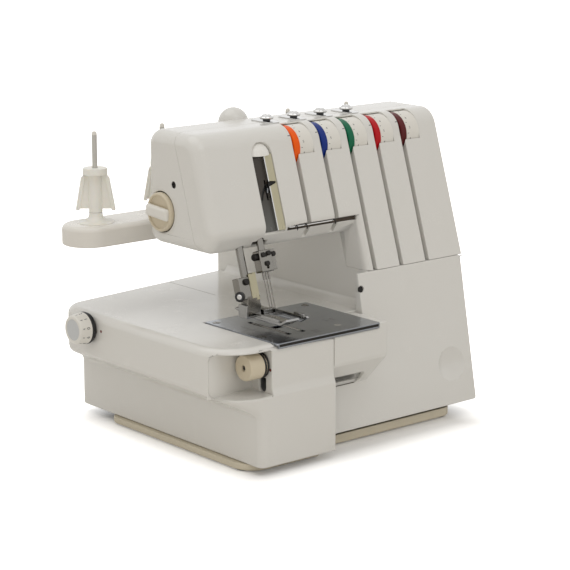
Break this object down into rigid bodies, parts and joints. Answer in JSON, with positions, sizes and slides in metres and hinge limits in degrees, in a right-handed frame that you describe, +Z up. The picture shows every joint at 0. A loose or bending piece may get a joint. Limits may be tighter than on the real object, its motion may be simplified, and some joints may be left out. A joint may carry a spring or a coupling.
{
  "type": "serger overlock machine",
  "caption": "Overlock sewing machine with coloured tension dials, free-standing bed, needle plate, presser foot, spool stand and hinged looper cover.",
  "frame": {"origin": "bottom centre of the part's box, on the table under its rubber feet", "axes": "+X to the machine's right as the user sits, +Y from the user to the back, +Z up"},
  "size_m": [0.379, 0.277, 0.301],
  "materials": {
    "ivory_plastic": "satin moulded",
    "pan_plastic": "matte moulded",
    "rubber": "matte",
    "cast_frame": "as cast",
    "plate_steel": "polished",
    "steel": "ground",
    "bronze": "sintered",
    "black_plastic": "matte",
    "motor_paint": "satin",
    "lens": "frosted",
    "ring_orange": "gloss",
    "ring_blue": "gloss",
    "ring_green": "gloss",
    "ring_red": "gloss",
    "ring_maroon": "gloss"
  },
  "bodies": {
    "machine": {"base_pan": "pan_plastic", "rubber_feet": "rubber", "main_frame": "cast_frame", "bed_cover": "ivory_plastic", "needle_plate": "plate_steel", "plate_screws": "steel", "front_casing": "ivory_plastic", "rear_casing": "ivory_plastic", "casing_screws": "steel", "thread_guides": "plate_steel", "side_casing": "ivory_plastic", "take_up_guard": "plate_steel", "tension_rod": "steel", "tension_discs": "steel", "tension_springs": "steel", "shaft_bushings": "bronze", "motor": "motor_paint", "drive_belt": "rubber", "presser_spring": "steel", "lower_knife": "steel", "spool_stand": "ivory_plastic", "spool_pins": "ivory_plastic", "cone_holders": "ivory_plastic", "power_socket": "black_plastic", "lamp_lens": "lens"},
    "cover_carrier": {"cover_hinge_rod": "steel"},
    "cover": {"looper_cover": "ivory_plastic"},
    "drive": {"main_shaft": "steel", "drive_cams": "steel", "drive_pulley": "black_plastic", "handwheel": "ivory_plastic"},
    "rotor": {"motor_pulley": "steel"},
    "needle": {"needle_bar": "steel", "needle_clamp": "steel", "needles": "steel", "clamp_screws": "steel"},
    "rocker": {"needle_rocker": "steel", "take_up_lever": "plate_steel"},
    "presser": {"presser_bar": "steel", "foot_ankle": "steel"},
    "foot": {"presser_foot": "steel"},
    "lifter": {"presser_lifter": "steel"},
    "lower_looper": {"lower_looper": "steel"},
    "upper_looper": {"upper_looper": "steel"},
    "upper_knife": {"upper_knife": "steel"},
    "feed": {"feed_dog": "steel"},
    "length_dial": {"stitch_length_dial": "ivory_plastic"},
    "width_dial": {"width_dial": "ivory_plastic"},
    "pressure_knob": {"pressure_knob": "ivory_plastic"},
    "switch": {"power_switch": "black_plastic"},
    "dial_1": {"tension_dial_1": "ivory_plastic", "colour_ring_1": "ring_orange"},
    "dial_2": {"tension_dial_2": "ivory_plastic", "colour_ring_2": "ring_blue"},
    "dial_3": {"tension_dial_3": "ivory_plastic", "colour_ring_3": "ring_green"},
    "dial_4": {"tension_dial_4": "ivory_plastic", "colour_ring_4": "ring_red"},
    "dial_5": {"tension_dial_5": "ivory_plastic", "colour_ring_5": "ring_maroon"}
  },
  "joints": [
    {"name": "cover_slide", "type": "slide", "parent": "machine", "child": "cover_carrier", "axis": [1, 0, 0], "range_m": [0, 0.008]},
    {"name": "cover_hinge", "type": "hinge", "parent": "cover_carrier", "child": "cover", "pos_m": [0.0635, -0.1087, 0.0205], "axis": [1, 0, 0], "range_deg": [0, 60]},
    {"name": "drive_spin", "type": "hinge", "parent": "machine", "child": "drive", "pos_m": [0.1735, 0.0115, 0.07], "axis": [1, 0, 0], "continuous": true},
    {"name": "motor_spin", "type": "hinge", "parent": "machine", "child": "rotor", "pos_m": [0.1185, 0.0865, 0.062], "axis": [1, 0, 0], "continuous": true},
    {"name": "needle_slide", "type": "slide", "parent": "machine", "child": "needle", "axis": [0, 0.3048, 0.9524], "range_m": [-0.022, 0.004]},
    {"name": "rocker_swing", "type": "hinge", "parent": "machine", "child": "rocker", "pos_m": [-0.0265, -0.0165, 0.238], "axis": [-1, 0, 0], "range_deg": [-42.2, 7.8]},
    {"name": "lifter_swing", "type": "hinge", "parent": "machine", "child": "lifter", "pos_m": [-0.0925, -0.0415, 0.2], "axis": [1, 0, 0], "range_deg": [-38, 0]},
    {"name": "presser_lift", "type": "slide", "parent": "machine", "child": "presser", "axis": [0, 0.3048, 0.9524], "range_m": [-0.0085, 0]},
    {"name": "foot_tilt", "type": "hinge", "parent": "presser", "child": "foot", "pos_m": [-0.0925, -0.07391, 0.1361], "axis": [-1, 0, 0], "range_deg": [0, 5]},
    {"name": "lower_looper_swing", "type": "hinge", "parent": "machine", "child": "lower_looper", "pos_m": [-0.0565, -0.0835, 0.058], "axis": [0, 1, 0], "range_deg": [-19, 3.6]},
    {"name": "upper_looper_swing", "type": "hinge", "parent": "machine", "child": "upper_looper", "pos_m": [-0.0185, -0.0735, 0.066], "axis": [0, 1, 0], "range_deg": [-2.8, 15.2]},
    {"name": "upper_knife_swing", "type": "hinge", "parent": "machine", "child": "upper_knife", "pos_m": [-0.0005, -0.0735, 0.088], "axis": [0, 1, 0], "range_deg": [-10.2, 2]},
    {"name": "feed_slide", "type": "slide", "parent": "machine", "child": "feed", "axis": [0, 1, 0], "range_m": [-0.0034, 0.0007]},
    {"name": "length_dial_turn", "type": "hinge", "parent": "machine", "child": "length_dial", "pos_m": [-0.1715, 0.066, 0.1045], "axis": [-1, 0, 0], "range_deg": [-140, 140]},
    {"name": "width_dial_turn", "type": "hinge", "parent": "machine", "child": "width_dial", "pos_m": [-0.1165, -0.1215, 0.098], "axis": [-1, 0, 0], "range_deg": [-140, 140]},
    {"name": "pressure_knob_turn", "type": "hinge", "parent": "machine", "child": "pressure_knob", "pos_m": [-0.1315, 0.0035, 0.218], "axis": [-1, 0, 0], "range_deg": [-120, 120]},
    {"name": "switch_rock", "type": "hinge", "parent": "machine", "child": "switch", "pos_m": [0.1555, 0.0925, 0.045], "axis": [0, 1, 0], "range_deg": [-6, 6]},
    {"name": "tension_dial_1_turn", "type": "hinge", "parent": "machine", "child": "dial_1", "pos_m": [-0.0192, -0.03286, 0.2699], "axis": [1, 0, 0], "range_deg": [-140, 140]},
    {"name": "tension_dial_2_turn", "type": "hinge", "parent": "machine", "child": "dial_2", "pos_m": [0.0143, -0.03286, 0.2699], "axis": [1, 0, 0], "range_deg": [-140, 140]},
    {"name": "tension_dial_3_turn", "type": "hinge", "parent": "machine", "child": "dial_3", "pos_m": [0.0478, -0.03286, 0.2699], "axis": [1, 0, 0], "range_deg": [-140, 140]},
    {"name": "tension_dial_4_turn", "type": "hinge", "parent": "machine", "child": "dial_4", "pos_m": [0.0813, -0.03286, 0.2699], "axis": [1, 0, 0], "range_deg": [-140, 140]},
    {"name": "tension_dial_5_turn", "type": "hinge", "parent": "machine", "child": "dial_5", "pos_m": [0.1148, -0.03286, 0.2699], "axis": [1, 0, 0], "range_deg": [-140, 140]}
  ],
  "couplings": [
    {"joint": "motor_spin", "follows": "drive_spin", "ratio": 3.3333},
    {"joint": "rocker_swing", "follows": "needle_slide", "rad_per_m": 33.333},
    {"joint": "lower_looper_swing", "follows": "needle_slide", "rad_per_m": 15},
    {"joint": "upper_looper_swing", "follows": "needle_slide", "rad_per_m": -12},
    {"joint": "upper_knife_swing", "follows": "needle_slide", "rad_per_m": 8},
    {"joint": "feed_slide", "follows": "needle_slide", "ratio": 0.15},
    {"joint": "presser_lift", "follows": "lifter_swing", "m_per_rad": 0.012816}
  ]
}
